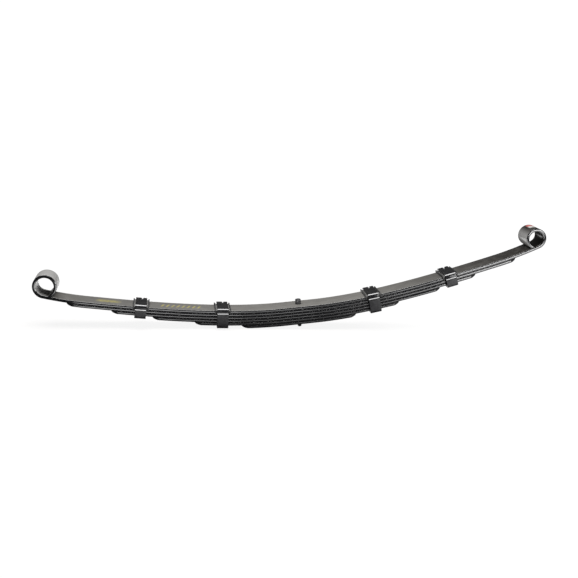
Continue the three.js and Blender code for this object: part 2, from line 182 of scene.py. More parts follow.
# %% Camber lines as curves
LINE_STEP = 2 * MM
EYE_LINE_TURN = math.radians(4)
EYE_TAIL = 16 * MM


def camber_line(name, start, end, eye_radius=None):
    """A curve along the camber from start to end, which then wraps an eye if it has one."""
    count = math.ceil((end - start) / LINE_STEP)
    points = [camber_point(start + (end - start) * i / count) for i in range(count + 1)]
    if eye_radius:
        slope = slope_at(end)
        centre = points[-1] + eye_radius * Vector((-math.sin(slope), 0.0, math.cos(slope)))
        turns = math.ceil(EYE_WRAP / EYE_LINE_TURN)
        for i in range(1, turns + 1):
            angle = slope - math.pi / 2 + EYE_WRAP * i / turns
            points.append(centre + eye_radius * Vector((math.cos(angle), 0.0, math.sin(angle))))
        heading = slope + EYE_WRAP
        points.append(points[-1] + EYE_TAIL * Vector((math.cos(heading), 0.0, math.sin(heading))))
    data = bpy.data.curves.new(name, "CURVE")
    data.dimensions = "3D"
    data.twist_mode = "MINIMUM"
    spline = data.splines.new("POLY")
    spline.points.add(len(points) - 1)
    for spot, point in zip(spline.points, points):
        spot.co = (*point, 1.0)
    line = bpy.data.objects.new(name, data)
    bpy.context.scene.collection.objects.link(line)
    return line


# %% [markdown]
# ## Hand tools
#
# The same few moves make every piece: start a block, pick some faces or edges by their place,
# cut it at a plane, drill it, and break its sharp edges. Each is a short helper around bpy.ops.
# An operator acts on all that is selected, so each helper first deselects everything.


# %% Hand tools
def only(piece):
    """Makes one piece the active and the only selected object."""
    for other in list(bpy.context.selected_objects):
        other.select_set(False)
    bpy.context.view_layer.objects.active = piece
    piece.select_set(True)


def settle(piece, name):
    """Names a new primitive and moves its place, turn and size into its mesh."""
    piece.name = name
    only(piece)
    bpy.ops.object.transform_apply(location=True, rotation=True, scale=True)
    return piece


def block(name, low, high):
    """A block between two corners."""
    for other in list(bpy.context.selected_objects):
        other.select_set(False)
    low, high = Vector(low), Vector(high)
    bpy.ops.mesh.primitive_cube_add(size=1, location=(low + high) / 2)
    bpy.context.object.scale = high - low
    return settle(bpy.context.object, name)


def rod(name, radius, foot, top, sides=48):
    """An upright round bar that stands on the point foot and ends at the height top."""
    for other in list(bpy.context.selected_objects):
        other.select_set(False)
    foot = Vector(foot)
    waist = Vector((foot.x, foot.y, (foot.z + top) / 2))
    bpy.ops.mesh.primitive_cylinder_add(vertices=sides, radius=radius, depth=top - foot.z, location=waist)
    return settle(bpy.context.object, name)


def pick(piece, kind, wanted):
    """Opens a piece in edit mode and selects the vertices, edges or faces that pass a test."""
    only(piece)
    bpy.ops.object.mode_set(mode="EDIT")
    bpy.ops.mesh.select_mode(type=kind)
    bpy.ops.mesh.select_all(action="DESELECT")
    mesh = bmesh.from_edit_mesh(piece.data)
    mesh.normal_update()
    for part in {"VERT": mesh.verts, "EDGE": mesh.edges, "FACE": mesh.faces}[kind]:
        if wanted(part):
            part.select_set(True)
    bmesh.update_edit_mesh(piece.data)


def close():
    """Leaves edit mode."""
    bpy.ops.object.mode_set(mode="OBJECT")


def middle(part):
    """Middle of an edge or a face."""
    return sum((vertex.co for vertex in part.verts), Vector()) / len(part.verts)


def along(edge, axis, share=0.9):
    """Whether an edge runs along an axis."""
    run = edge.verts[1].co - edge.verts[0].co
    return abs(run[axis]) > share * run.length


def slice_off(piece, point, outward):
    """Cuts a piece at a plane and throws away its outward side."""
    pick(piece, "FACE", lambda face: True)
    outward = Vector(outward).normalized()
    bpy.ops.mesh.bisect(plane_co=point, plane_no=outward, use_fill=True, clear_outer=True)
    close()


def apply(piece, kind, **settings):
    """Adds a modifier with its settings and applies it."""
    only(piece)
    modifier = piece.modifiers.new(kind.lower(), kind)
    for setting, value in settings.items():
        setattr(modifier, setting, value)
    bpy.ops.object.modifier_apply(modifier=modifier.name)


def carve(piece, tool, operation="DIFFERENCE"):
    """Cuts a tool's shape out of a piece, or joins them, and puts the tool away."""
    apply(piece, "BOOLEAN", object=tool, operation=operation, solver="EXACT")
    bpy.data.objects.remove(tool)


def soften(piece, width, segments=2, angle=30):
    """Breaks the sharp edges of a piece."""
    limit = math.radians(angle)
    apply(piece, "BEVEL", width=width, segments=segments, limit_method="ANGLE", angle_limit=limit)


def shade(piece, angle=30):
    """Smooth shading everywhere but at real corners, on faces that all point outward."""
    pick(piece, "FACE", lambda face: True)
    bpy.ops.mesh.remove_doubles(threshold=0.002 * MM)
    bpy.ops.mesh.normals_make_consistent(inside=False)
    close()
    bpy.ops.object.shade_smooth_by_angle(angle=math.radians(angle))


# %% [markdown]
# ## A straight leaf
#
# Spring steel comes as rolled flat bar. Its two narrow edges aren't square: the rolls leave them
# convex, and that is what draws a thin line of light along each leaf. The edge is an arc,
# made here in a few steps: extrude the narrow face outward, then squeeze it, and again.
#
# Then the tip is sheared: both corners go off in plan, and the underside thins in a quarter ellipse,
# so that the tip doesn't dig into the leaf below when the pack flexes.

# %% Straight leaf
EDGE_STEPS = 5
EDGE_RADIUS = ((LEAF_THICKNESS / 2) ** 2 + EDGE_BULGE**2) / (2 * EDGE_BULGE)
EDGE_TURN = math.asin(LEAF_THICKNESS / 2 / EDGE_RADIUS)
STATION = 3 * MM
ROUGH_STATIONS = 10
CUT_FACE_TILT = 0.3
CORNER_WEAR = 0.35 * MM
TIP_TAPER = 15 * MM
TIP_THICKNESS = 3.6 * MM
TIP_CORNER_LENGTH = 16 * MM
TIP_CORNER_WIDTH = 12 * MM


def straight_leaf(name, start, end, depth):
    """A straight bar with convex edges, its top at a depth below the main leaf's top."""
    angles = [EDGE_TURN * (1 - i / EDGE_STEPS) for i in range(EDGE_STEPS)]
    flat_half = LEAF_WIDTH / 2 - EDGE_RADIUS * (math.cos(angles[-1]) - math.cos(EDGE_TURN))
    bar = block(name, (start, -flat_half, -depth - LEAF_THICKNESS), (end, flat_half, -depth))
    heart = ((start + end) / 2, 0, -depth - LEAF_THICKNESS / 2)
    pick(bar, "FACE", lambda face: abs(face.normal.y) > 0.9)
    for before, after in zip(angles, angles[1:]):
        rise = EDGE_RADIUS * (math.cos(after) - math.cos(before))
        squeeze = math.sin(after) / math.sin(before)
        bpy.ops.mesh.extrude_region_shrink_fatten(TRANSFORM_OT_shrink_fatten={"value": rise})
        bpy.ops.transform.resize(value=(1, 1, squeeze), center_override=heart)
    close()
    for cuts in (math.ceil((end - start) / STATION / ROUGH_STATIONS) - 1, ROUGH_STATIONS - 1):
        pick(bar, "EDGE", lambda edge: along(edge, 0))
        bpy.ops.mesh.subdivide(number_cuts=cuts)
        close()
    return bar


def shear_tip(bar, end, depth):
    """Trims the two corners of a leaf's tip and thins its underside."""
    side = math.copysign(1, end)
    for across in (-1, 1):
        outward = (side * TIP_CORNER_WIDTH, across * TIP_CORNER_LENGTH, 0)
        slice_off(bar, (end, across * (LEAF_WIDTH / 2 - TIP_CORNER_WIDTH), 0), outward)
    for vertex in bar.data.vertices:
        reach = 1 - abs(end - vertex.co.x) / TIP_TAPER
        if reach > 0:
            kept = TIP_THICKNESS + (LEAF_THICKNESS - TIP_THICKNESS) * math.sqrt(1 - min(reach, 1) ** 2)
            vertex.co.z = -depth + (vertex.co.z + depth) * kept / LEAF_THICKNESS


def drill(bar, length, radius):
    """A hole through a straight bar."""
    low = min(vertex.co.z for vertex in bar.data.vertices) - 5 * MM
    carve(bar, rod("drill", radius, (length, 0, low), low + LEAF_THICKNESS + 10 * MM, 32))


def bend(bar, line, start):
    """Bends a straight bar along a camber line, and keeps where each point was on the flat bar."""
    flat = [Vector(vertex.co) for vertex in bar.data.vertices]
    for vertex in bar.data.vertices:
        vertex.co.x -= start
    apply(bar, "CURVE", object=line, deform_axis="POS_X")
    return flat


def keep_flat_place(bar, flat, side=1):
    """Stores the flat bar's coordinates on the bent leaf, and marks the faces that were cut, not rolled."""
    lay = bar.data.attributes.new("flat_place", "FLOAT_VECTOR", "POINT")
    for spot, place in zip(lay.data, flat):
        spot.vector = (side * place.x, place.y, place.z)
    cut = bar.data.attributes.new("cut_face", "FLOAT", "FACE")
    for spot, polygon in zip(cut.data, bar.data.polygons):
        facing = geometry.normal([flat[index] for index in polygon.vertices])
        spot.value = 1.0 if abs(facing.x) > CUT_FACE_TILT else 0.0


# %% [markdown]
# ## The long leaves
#
# Each of the five long leaves is one piece of steel, but it bends on both arms, and in this model
# a piece can bend between two bodies only. So it is made as two halves that meet under the bolt head,
# where the steel never bends. A left half is shaped like a right one and then mirrored.
# The main leaf's half is longer, since its end goes once round the eye.

# %% Long leaves
BOLT_DIAMETER = 9.5 * MM
BOLT_HOLE = BOLT_DIAMETER / 2 + 0.4 * MM
RIVET_DIAMETER = 8 * MM
RIVET_HOLE = RIVET_DIAMETER / 2 + 0.3 * MM
SEAM_SPARE = 9 * MM


def leaf_half(leaf, side):
    """Half of a long leaf, from the bolt to its tip or its eye."""
    arm = ARMS[side]
    name = f"main_leaf_{side}_half" if leaf == 1 else f"leaf_{leaf}_{side}_half"
    depth = (leaf - 1) * LEAF_PITCH
    if leaf == 1:
        radius = arm["eye_radius"]
        end = eye_start(arm)
        line = camber_line("camber", 0, end, radius)
        wrap_end = end + radius * EYE_WRAP
        steepness = -math.sin(EYE_WRAP)
        bore_height = radius * (1 - math.cos(EYE_WRAP))
        back_height = bore_height - LEAF_THICKNESS * math.cos(EYE_WRAP)
        bore_end = wrap_end + (bore_height - EYE_TIP_GAP) / steepness
        back_end = wrap_end + (back_height - EYE_TIP_GAP) / steepness
        bar = straight_leaf(name, -SEAM_SPARE, max(bore_end, back_end) + MM, depth)
        slant = Vector((LEAF_THICKNESS, 0, back_end - bore_end))
        slice_off(bar, (bore_end, 0, 0), slant)
    else:
        end = arm["leaf_ends"][leaf] * MM
        line = camber_line("camber", 0, end)
        bar = straight_leaf(name, -SEAM_SPARE, end, depth)
        shear_tip(bar, end, depth)
    for distance, gripped in arm["clips"].values():
        if gripped == leaf:
            drill(bar, distance * MM, RIVET_HOLE)
    drill(bar, 0, BOLT_HOLE)
    soften(bar, CORNER_WEAR)
    slice_off(bar, (0, 0, 0), (-1, 0, 0))
    flat = bend(bar, line, 0)
    bpy.data.objects.remove(line)
    keep_flat_place(bar, flat, arm["sign"])
    if side == "left":
        pick(bar, "FACE", lambda face: True)
        bpy.ops.transform.mirror(constraint_axis=(True, False, False), center_override=(0, 0, 0))
        close()
    shade(bar)
    return bar


leaves = {}
for side in ARMS:
    for leaf in range(1, LEAF_COUNT):
        leaves[leaf, side] = leaf_half(leaf, side)
        size = [round(value / MM, 1) for value in leaves[leaf, side].dimensions]
        print(leaves[leaf, side].name, "is", size, "mm")

# %% [markdown]
# ## The shortest leaf
#
# The sixth leaf ends before the spring starts to bend, so it stays in one piece.

# %% Shortest leaf
short_ends = [ARMS[side]["sign"] * ARMS[side]["leaf_ends"][LEAF_COUNT] * MM for side in ARMS]
short_depth = (LEAF_COUNT - 1) * LEAF_PITCH
short_leaf = straight_leaf("leaf_6_whole", short_ends[0], short_ends[1], short_depth)
for end in short_ends:
    shear_tip(short_leaf, end, short_depth)
drill(short_leaf, 0, BOLT_HOLE)
soften(short_leaf, CORNER_WEAR)
short_line = camber_line("camber", *short_ends)
short_flat = bend(short_leaf, short_line, short_ends[0])
bpy.data.objects.remove(short_line)
keep_flat_place(short_leaf, short_flat)
shade(short_leaf)
print("leaf 6 is", round(short_leaf.dimensions.x / MM, 1), "mm long")

# %% [markdown]
# ## The centre bolt
#
# One bolt holds the pack. Its tall round head also finds the hole in the axle's spring seat.
# It begins as a rod. The head grows from the top face: scale it out, pull it up, and round its rim.
# The thread is a helix, so each ring of the rod's lower end is pushed in and out by its height and
# its angle.

# %% Centre bolt
BOLT_SIDES = 48
BOLT_TAIL = 5 * MM
BOLT_CHAMFER = 0.9 * MM
HEAD_DIAMETER = 14.5 * MM
HEAD_HEIGHT = 12.5 * MM
HEAD_ROUND = 1.6 * MM
THREAD_TOP = 18 * MM
THREAD_PITCH = 1.25 * MM
THREAD_DEPTH = 0.7 * MM
RINGS_PER_TURN = 8

head_foot = PACK_TOP + LEAF_GAP
bolt = rod("centre_bolt_made", BOLT_DIAMETER / 2, (0, 0, 0), head_foot, BOLT_SIDES)
pick(bolt, "FACE", lambda face: face.normal.z > 0.9)
grow = HEAD_DIAMETER / BOLT_DIAMETER
bpy.ops.mesh.extrude_region_move()
bpy.ops.transform.resize(value=(grow, grow, 1), center_override=(0, 0, head_foot))
bpy.ops.mesh.extrude_region_move(TRANSFORM_OT_translate={"value": (0, 0, HEAD_HEIGHT)})
close()
head_top = head_foot + HEAD_HEIGHT
pick(bolt, "EDGE", lambda edge: min(vertex.co.z for vertex in edge.verts) > head_top - 0.1 * MM)
bpy.ops.mesh.bevel(offset=HEAD_ROUND, segments=5, profile=0.5)
close()
pick(bolt, "EDGE", lambda edge: max(vertex.co.z for vertex in edge.verts) < 0.1 * MM)
bpy.ops.mesh.bevel(offset=BOLT_CHAMFER, segments=1)
close()

# %% Thread
pick(bolt, "FACE", lambda face: True)
bpy.ops.mesh.bisect(plane_co=(0, 0, THREAD_TOP), plane_no=(0, 0, 1))
close()
pick(bolt, "EDGE", lambda edge: along(edge, 2) and BOLT_CHAMFER / 2 < middle(edge).z < THREAD_TOP)
bpy.ops.mesh.subdivide(number_cuts=round(THREAD_TOP / THREAD_PITCH * RINGS_PER_TURN))
close()
for vertex in bolt.data.vertices:
    radius = math.hypot(vertex.co.x, vertex.co.y)
    if vertex.co.z < THREAD_TOP and radius > BOLT_DIAMETER / 2 - 0.1 * MM:
        turn = math.atan2(vertex.co.y, vertex.co.x) / (2 * math.pi)
        phase = (vertex.co.z / THREAD_PITCH - turn) % 1
        run_in = min(1, (THREAD_TOP - vertex.co.z) / THREAD_PITCH)
        inward = 1 - THREAD_DEPTH * run_in * abs(2 * phase - 1) / radius
        vertex.co.x *= inward
        vertex.co.y *= inward
shade(bolt, 40)
print("bolt is", round(bolt.dimensions.z / MM, 1), "mm long")

# %% [markdown]
# ## The nut
#
# A hex nut is a six-sided bar, turned to a cone at its lower corners, with a hole.
# The turned cone is a second solid, and only what lies in both is kept.

# %% Nut
NUT_FLATS = 14.3 * MM
NUT_HEIGHT = 8 * MM
NUT_CHAMFER = 1.2 * MM
nut_corner = NUT_FLATS / math.sqrt(3)
nut_foot = PACK_BOTTOM - LEAF_GAP - NUT_HEIGHT
nut = rod("centre_nut_made", nut_corner, (0, 0, nut_foot), nut_foot + NUT_HEIGHT, 6)
turned = rod("turned", nut_corner + 0.2 * MM, (0, 0, nut_foot), nut_foot + NUT_HEIGHT + MM, 64)
pick(turned, "EDGE", lambda edge: max(vertex.co.z for vertex in edge.verts) < nut_foot + 0.1 * MM)
bpy.ops.mesh.bevel(offset=NUT_CHAMFER, segments=3)
close()
carve(nut, turned, "INTERSECT")
tap = rod("tap", BOLT_DIAMETER / 2 + 0.1 * MM, (0, 0, nut_foot - MM), nut_foot + NUT_HEIGHT + MM, 40)
carve(nut, tap)
soften(nut, 0.2 * MM)
shade(nut)
print("nut is", round(nut.dimensions.z / MM, 1), "mm high")

# %% [markdown]
# ## Clip straps
#
# A rebound clip is a strap of steel riveted under the lowest leaf that it grips. Both legs rise beside
# the pack, step inward over a shoulder, and fold over the main leaf, where their two slanted ends meet.
#
# A block of the strap's outer shape is cut at the shoulder, its lower part is widened, and its corners
# are rounded. Then both ends are inset by the strap's thickness and bridged, which leaves a closed band,
# and the shoulder is rounded.
# The gap between the two ends and the notch at the far corner are cut out last.

# %% Strap sizes
STRAP_WIDTH = 28 * MM
STRAP_THICKNESS = 4.8 * MM
STRAP_CORNER = 7 * MM
SHOULDER_DROP = 6.5 * MM
SHOULDER_STEP = 2.8 * MM
SHOULDER_HEIGHT = 1.6 * MM
SHOULDER_ROUND = 0.5 * MM
LEG_LEAN = 0.6 * MM
CLEARANCE = 0.3 * MM
LINER_THICKNESS = 2.3 * MM
STRAP_EDGE = 0.9 * MM


def gripped_depth(gripped):
    """How deep the underside of the lowest gripped leaf lies below the main leaf's top."""
    return (gripped - 1) * LEAF_PITCH + LEAF_THICKNESS


def strap_band(gripped):
    """The closed band of a strap, in the clip's own frame: X along the leaf, Z up from its top."""
    upper = LEAF_WIDTH / 2 + LINER_THICKNESS + 2 * CLEARANCE + STRAP_THICKNESS
    top = LINER_THICKNESS + 2 * CLEARANCE + STRAP_THICKNESS
    bottom = -gripped_depth(gripped) - CLEARANCE - STRAP_THICKNESS
    shoulder_middle = STRAP_THICKNESS / 3 - SHOULDER_DROP
    shoulders = [shoulder_middle + sign * SHOULDER_HEIGHT / 2 for sign in (1, -1)]
    half = STRAP_WIDTH / 2
    band = block("strap", (-half, -upper, bottom), (half, upper, top))
    for height in shoulders:
        pick(band, "FACE", lambda face: True)
        bpy.ops.mesh.bisect(plane_co=(0, 0, height), plane_no=(0, 0, 1))
        close()
    for height, step in zip(shoulders, (LEG_LEAN, SHOULDER_STEP)):
        pick(band, "VERT", lambda vertex: vertex.co.z < height + 0.1 * MM)
        lower = [vertex for vertex in bmesh.from_edit_mesh(band.data).verts if vertex.select]
        reached = max(abs(vertex.co.y) for vertex in lower)
        bpy.ops.transform.resize(value=(1, (upper + step) / reached, 1), center_override=(0, 0, 0))
        close()

    def is_corner(edge):
        height = middle(edge).z
        return along(edge, 0) and (height > top - 0.1 * MM or height < bottom + 0.1 * MM)

    def is_shoulder(edge):
        height = middle(edge).z
        near = min(abs(height - shoulder) for shoulder in shoulders)
        return along(edge, 0) and abs(middle(edge).y) > upper - MM and near < 0.1 * MM

    pick(band, "EDGE", is_corner)
    bpy.ops.mesh.bevel(offset=STRAP_CORNER, segments=8, profile=0.5)
    close()
    pick(band, "FACE", lambda face: abs(face.normal.x) > 0.9)
    bpy.ops.mesh.dissolve_faces()
    bpy.ops.mesh.inset(thickness=STRAP_THICKNESS, use_even_offset=True)
    bpy.ops.mesh.bridge_edge_loops()
    close()
    pick(band, "EDGE", is_shoulder)
    bpy.ops.mesh.bevel(offset=SHOULDER_ROUND, segments=4, profile=0.5)
    close()
    return band


# %% [markdown]
# The strap's two ends are cut on a slant, so that each can be bent down over the leaf in turn.
# A thin slanted blade makes the gap between them. The gap then follows the far corner, and a
# three-sided bar opens it there into a small notch. A hole in the bottom takes the rivet.

# %% Strap ends and rivet hole
SLIT = 1.1 * MM
SLIT_SHIFT = 1.5 * MM
NOTCH_LENGTH = 22 * MM
NOTCH_WIDTH = 9 * MM


def split_ends(band):
    """Cuts the slanted gap, the gap along the far corner and the notch into a strap's top."""
    edge = LEAF_WIDTH / 2 - 3 * MM
    roof = LINER_THICKNESS + CLEARANCE / 2
    start = Vector((-STRAP_WIDTH / 2 - MM, -edge, 0))
    finish = Vector((SLIT_SHIFT + 2 * MM, edge, 0))
    run = finish - start
    blade = block("blade", (0, -SLIT / 2, roof), (run.length, SLIT / 2, roof + 20 * MM))
    turn = Matrix.Rotation(math.atan2(run.y, run.x), 4, "Z")
    blade.data.transform(Matrix.Translation(start) @ turn)
    carve(band, blade)
    carve(band, block("blade", (SLIT_SHIFT, edge - SLIT, roof), (STRAP_WIDTH, edge, roof + 20 * MM)))
    notch = rod("notch", NOTCH_LENGTH / 1.5, (0, 0, roof - 2 * MM), roof + 20 * MM, 3)
    squeeze = Matrix.Diagonal((NOTCH_WIDTH / notch.dimensions.x, 1, 1, 1))
    notch_middle = (SLIT_SHIFT + MM, LEAF_WIDTH / 2 + 3 * MM, 0)
    notch.data.transform(Matrix.Translation(notch_middle) @ Matrix.Rotation(math.pi, 4, "Z") @ squeeze)
    carve(band, notch)


def make_strap(name, gripped):
    """A finished strap in the clip's own frame."""
    band = strap_band(gripped)
    band.name = name
    soften(band, STRAP_EDGE, 3, 50)
    split_ends(band)
    bottom = -gripped_depth(gripped) - STRAP_THICKNESS
    carve(band, rod("drill", RIVET_HOLE, (0, 0, bottom - 5 * MM), bottom + 10 * MM, 32))
    shade(band)
    return band


# %% [markdown]
# ## Clip liners
#
# A plastic channel keeps the strap from wearing the main leaf. Its two ends stand up as rims, which
# stop the strap from sliding off. A block is cut near both ends, the end bands are pulled
# up and out into rims, and the leaf's own shape is cut away below.

# %% Liner
LINER_HALF_LENGTH = 20 * MM
LINER_SIDE_DEPTH = 7 * MM
LINER_CHAMFER = 1.7 * MM
LINER_EDGE = 0.4 * MM
RIM_WIDTH = 2.8 * MM
RIM_HEIGHT = 2.6 * MM


def make_liner(name):
    """A finished liner in the clip's own frame."""
    inside = LEAF_WIDTH / 2 + CLEARANCE
    outside = inside + LINER_THICKNESS - CLEARANCE
    top = LINER_THICKNESS + CLEARANCE
    rim_from = LINER_HALF_LENGTH - RIM_WIDTH
    low = (-LINER_HALF_LENGTH, -outside, -LINER_SIDE_DEPTH)
    channel = block(name, low, (LINER_HALF_LENGTH, outside, top))
    pick(channel, "EDGE", lambda edge: along(edge, 0) and middle(edge).z > 0)
    bpy.ops.mesh.bevel(offset=LINER_CHAMFER, segments=3)
    close()
    for cut in (-rim_from, rim_from):
        pick(channel, "FACE", lambda face: True)
        bpy.ops.mesh.bisect(plane_co=(cut, 0, 0), plane_no=(1, 0, 0))
        close()

    def is_rim(face):
        return abs(middle(face).x) > rim_from and abs(face.normal.x) < 0.1 and face.normal.z > -0.5

    pick(channel, "FACE", is_rim)
    fatten = {"value": RIM_HEIGHT / 2, "use_even_offset": True}
    bpy.ops.mesh.extrude_region_shrink_fatten(TRANSFORM_OT_shrink_fatten=fatten)
    close()
    pick(channel, "FACE", lambda face: abs(middle(face).x) > rim_from and face.normal.z > 0.9)
    bpy.ops.mesh.extrude_region_move(TRANSFORM_OT_translate={"value": (0, 0, RIM_HEIGHT / 2)})
    close()
    room_low = (-STRAP_WIDTH, -inside, -LINER_SIDE_DEPTH - MM)
    carve(channel, block("room", room_low, (STRAP_WIDTH, inside, CLEARANCE)))
    soften(channel, LINER_EDGE)
    shade(channel)
    return channel


# %% [markdown]
# ## Clip rivets
#
# A rivet's head is hammered to a dome. It grows from the foot of a rod in rings that
# follow a quarter circle, each pulled down a little and drawn in a little.

# %% Rivet
RIVET_HEAD_DIAMETER = 14 * MM
RIVET_HEAD_HEIGHT = 3 * MM
DOME_RINGS = 6
DOME_TURN = math.radians(80)


def make_rivet(name, gripped):
    """A finished rivet in the clip's own frame."""
    head_foot = -gripped_depth(gripped) - STRAP_THICKNESS - 2 * CLEARANCE
    shank_top = -(gripped - 1) * LEAF_PITCH - CLEARANCE
    pin = rod(name, RIVET_DIAMETER / 2, (0, 0, head_foot), shank_top, 40)
    pick(pin, "FACE", lambda face: face.normal.z < -0.9)
    grow = RIVET_HEAD_DIAMETER / RIVET_DIAMETER
    bpy.ops.mesh.extrude_region_move()
    bpy.ops.transform.resize(value=(grow, grow, 1), center_override=(0, 0, head_foot))
    for ring in range(DOME_RINGS):
        before, after = [step / DOME_RINGS * DOME_TURN for step in (ring, ring + 1)]
        drop = RIVET_HEAD_HEIGHT * (math.sin(after) - math.sin(before))
        draw_in = math.cos(after) / math.cos(before)
        bpy.ops.mesh.extrude_region_move(TRANSFORM_OT_translate={"value": (0, 0, -drop)})
        bpy.ops.transform.resize(value=(draw_in, draw_in, 1), center_override=(0, 0, head_foot))
    close()
    shade(pin, 40)
    return pin


# %% [markdown]
# ## Putting the clips on the leaf
#
# Each clip is made in its own frame, then tipped to the leaf's slope and set at its length.
# The two inner clips grip five leaves and the two outer ones three, so each kind is made once and copied.

# %% Place the clips
def leaf_frame(length):
    """Where a clip sits: on the main leaf's top, tipped to its slope."""
    return Matrix.Translation(camber_point(length)) @ Matrix.Rotation(-slope_at(length), 4, "Y")


def keep_clip_place(piece):
    """Stores where each point is in the clip's own frame."""
    lay = piece.data.attributes.new("clip_place", "FLOAT_VECTOR", "POINT")
    for spot, vertex in zip(lay.data, piece.data.vertices):
        spot.vector = vertex.co


def copy_piece(piece, name):
    """A copy with its own mesh."""
    twin = piece.copy()
    twin.data = piece.data.copy()
    twin.name = name
    bpy.context.scene.collection.objects.link(twin)
    return twin


clips = {}
for place, gripped in (("inner", 5), ("outer", 3)):
    patterns = {
        "strap": make_strap("strap_pattern", gripped),
        "liner": make_liner("liner_pattern"),
        "rivet": make_rivet("rivet_pattern", gripped),
    }
    for pattern in patterns.values():
        keep_clip_place(pattern)
    for side, arm in ARMS.items():
        distance = arm["clips"][place][0] * MM
        for part, pattern in patterns.items():
            piece = copy_piece(pattern, f"{side}_{place}_clip_{part}_made")
            piece.data.transform(leaf_frame(arm["sign"] * distance))
            clips[side, place, part] = piece
        print(side, place, "clip sits", round(distance / MM), "mm from the bolt over", gripped, "leaves")
    for pattern in patterns.values():
        bpy.data.objects.remove(pattern)

# %% [markdown]
# ## Which body each piece moves with
#
# When the spring is loaded, each arm bends upward from the axle seat, and the CAD model gives an arm one
# hinge.
# Here the leaf halves and clips only get their transforms baked into their meshes, and the CAD parts
# they replace are hidden. The shortest leaf, the bolt and the nut are attached to the centre body.


def flex_with_arm(piece):
    """Bakes a piece's transform into its mesh; no bending is set up here."""
    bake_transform(piece)


for (leaf, side), piece in leaves.items():
    node = "main_leaf" if leaf == 1 else f"leaf_{leaf}"
    flex_with_arm(piece)
    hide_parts(f"{node}_{side}", f"{node}_centre")

for (side, place, part), piece in clips.items():
    flex_with_arm(piece)
    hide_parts(f"{side}_{place}_clip_{part}")

for piece, node, slot in (
    (short_leaf, "leaf_6", "spring_steel"),
    (bolt, "centre_bolt", "fastener_steel"),
    (nut, "centre_bolt_nut", "fastener_steel"),
):
    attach(piece, "centre")
    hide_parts(node)
print("pieces:", len(leaves) + len(clips) + 3)

# %% [markdown]
# ## Finishes
#
# A finish is a small graph of nodes. These helpers add a node with its settings and inputs in one line.
# Effects that several finishes share become node groups: the grain of rolled steel, the skin of dipped
# paint with its pits and runs, and the dust that settles on what faces up.

# %% Node helpers
def put(tree, kind, inputs=None, **settings):
    """Adds a node. Inputs are values, or sockets to link from."""
    node = tree.nodes.new(kind)
    for setting, value in settings.items():
        setattr(node, setting, value)
    for key, value in (inputs or {}).items():
        if isinstance(value, bpy.types.NodeSocket):
            tree.links.new(value, node.inputs[key])
        else:
            node.inputs[key].default_value = value
    return node


def maths(tree, operation, first, second=0.5, third=0.5, clamp=False):
    """One Math node's result."""
    values = {0: first, 1: second, 2: third}
    return put(tree, "ShaderNodeMath", values, operation=operation, use_clamp=clamp).outputs[0]


def ramp(tree, value, low, high, out_low=0.0, out_high=1.0):
    """A value eased from one range to another."""
    inputs = {"Value": value, "From Min": low, "From Max": high, "To Min": out_low, "To Max": out_high}
    return put(tree, "ShaderNodeMapRange", inputs, interpolation_type="SMOOTHSTEP").outputs[0]


def band(tree, value, centre, half, soft):
    """1 inside a band around a centre value, fading at both sides."""
    away = maths(tree, "ABSOLUTE", maths(tree, "SUBTRACT", value, centre))
    return ramp(tree, away, half - soft, half + soft, 1.0, 0.0)


def blend_colours(tree, mask, first, second):
    """One colour where the mask is 0, another where it is 1."""
    node = put(tree, "ShaderNodeMix", data_type="RGBA")
    for socket, value in ((node.inputs[0], mask), (node.inputs[6], first), (node.inputs[7], second)):
        if isinstance(value, bpy.types.NodeSocket):
            tree.links.new(value, socket)
        else:
            socket.default_value = value if isinstance(value, float) else (*value, 1.0)
    return node.outputs[2]


def stretch(tree, vector, amounts):
    """A vector multiplied by different amounts along X, Y and Z."""
    return put(tree, "ShaderNodeVectorMath", {0: vector, 1: amounts}, operation="MULTIPLY").outputs[0]


def noise(tree, vector, scale=1.0, detail=4.0, roughness=0.55):
    """Soft random patches between 0 and 1."""
    inputs = {"Vector": vector, "Scale": scale, "Detail": detail, "Roughness": roughness}
    return put(tree, "ShaderNodeTexNoise", inputs).outputs[0]


def new_group(name, inputs, outputs):
    """An empty node group with its sockets, and the inside ends of them."""
    tree = bpy.data.node_groups.new(name, "ShaderNodeTree")
    for label, kind, value in inputs:
        socket = tree.interface.new_socket(label, in_out="INPUT", socket_type=kind)
        if value is not None:
            socket.default_value = value
    for label in outputs:
        tree.interface.new_socket(label, in_out="OUTPUT", socket_type="NodeSocketFloat")
    return tree, put(tree, "NodeGroupInput").outputs, put(tree, "NodeGroupOutput").inputs


# %% Rolled grain
# Rolling drags every mark out along the bar, so the noise is stretched hard along X.
grain_tree, grain_in, grain_out = new_group(
    "rolled_grain", [("Place", "NodeSocketVector", None)], ["Streaks", "Clouds"]
)
fine_place = stretch(grain_tree, grain_in["Place"], (14, 620, 620))
cloud_place = stretch(grain_tree, grain_in["Place"], (9, 40, 40))
grain_tree.links.new(noise(grain_tree, fine_place, 1, 3), grain_out["Streaks"])
grain_tree.links.new(noise(grain_tree, cloud_place, 1, 5), grain_out["Clouds"])

